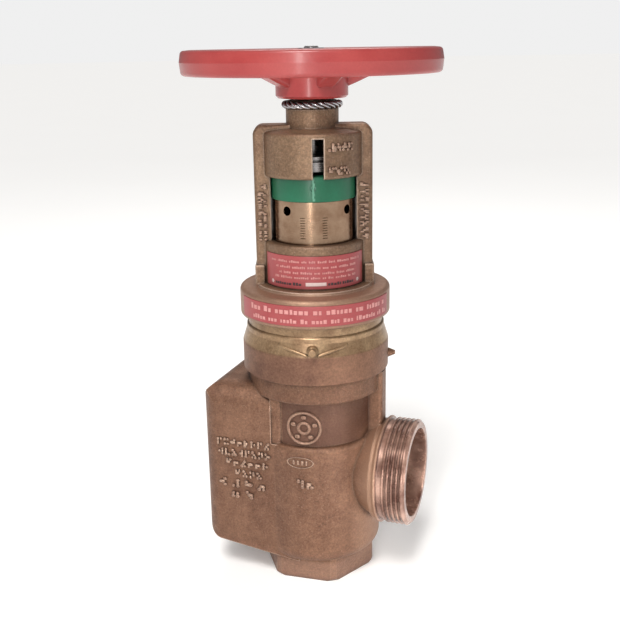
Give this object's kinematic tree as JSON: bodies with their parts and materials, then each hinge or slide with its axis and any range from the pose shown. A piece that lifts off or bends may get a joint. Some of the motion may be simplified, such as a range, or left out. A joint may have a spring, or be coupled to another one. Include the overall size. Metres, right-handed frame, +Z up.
{
  "type": "angle globe valve",
  "caption": "Bronze fire-hose angle valve: screwed inlet below, threaded hose outlet at the side, spring-loaded piston set by a turning sleeve, rising stem and red spoked handwheel.",
  "frame": {"origin": "centre of the inlet's bottom face", "axes": "+Z up the stem towards the handwheel, +X out of the hose outlet"},
  "size_m": [0.179, 0.179, 0.3854],
  "materials": {
    "cast_bronze": "sand cast, dull brown bronze",
    "machined_bronze": "turned bronze, satin",
    "polished_brass": "turned brass, bright",
    "red_paint": "satin enamel on cast iron",
    "green_paint": "satin enamel",
    "label": "printed metal foil",
    "steel": "bright machined steel",
    "spring_steel": "oil tempered wire",
    "wire_steel": "twisted bright wire",
    "rubber": "moulded nitrile",
    "guide_plastic": "bearing tape",
    "gasket": "compressed fibre"
  },
  "bodies": {
    "valve_and_yoke": {"valve_body": "cast_bronze", "seat_ring": "machined_bronze", "seat_gasket": "gasket", "bonnet": "machined_bronze", "lock_screw": "polished_brass", "bonnet_gasket": "gasket", "piston_cylinder": "machined_bronze", "yoke": "cast_bronze", "stem_bush": "polished_brass", "neck_seal_wire": "wire_steel", "cup_label": "label", "flange_label": "label", "main_spring": "spring_steel"},
    "disc_and_piston": {"disc_seal": "rubber", "disc_holder": "machined_bronze", "disc_retainer": "machined_bronze", "centre_bolt": "steel", "centre_nut": "steel", "piston": "machined_bronze", "piston_guide_ring": "guide_plastic", "piston_cup_seal": "rubber", "thrust_button": "steel", "lower_spring_washer": "steel"},
    "stem_and_wheel": {"stem": "steel", "travel_indicator": "steel", "handwheel": "red_paint", "wheel_washer": "steel", "wheel_nut": "steel"},
    "spring_seat": {"upper_spring_washer": "steel", "thrust_washer": "guide_plastic"},
    "adjuster": {"adjusting_sleeve": "polished_brass", "setting_ring": "green_paint", "ring_screw": "polished_brass", "sleeve_o_ring": "rubber", "stem_o_ring": "rubber"}
  },
  "joints": [
    {"name": "disc_lift", "type": "slide", "parent": "valve_and_yoke", "child": "disc_and_piston", "axis": [0, 0, 1], "range_m": [0, 0.0127], "deforming": ["main_spring"]},
    {"name": "handwheel_turn", "type": "hinge", "parent": "disc_and_piston", "child": "stem_and_wheel", "pos_m": [0, 0, 0.372], "axis": [0, 0, 1], "range_deg": [0, 1440]},
    {"name": "spring_setting", "type": "slide", "parent": "valve_and_yoke", "child": "spring_seat", "axis": [0, 0, 1], "range_m": [-0.012, 0.001], "deforming": ["main_spring"]},
    {"name": "sleeve_turn", "type": "hinge", "parent": "spring_seat", "child": "adjuster", "pos_m": [0, 0, 0.27], "axis": [0, 0, 1], "range_deg": [-2160, 180]}
  ],
  "couplings": [
    {"joint": "disc_lift", "follows": "handwheel_turn", "m_per_rad": 0.0005053},
    {"joint": "spring_setting", "follows": "sleeve_turn", "m_per_rad": 0.0003183}
  ]
}
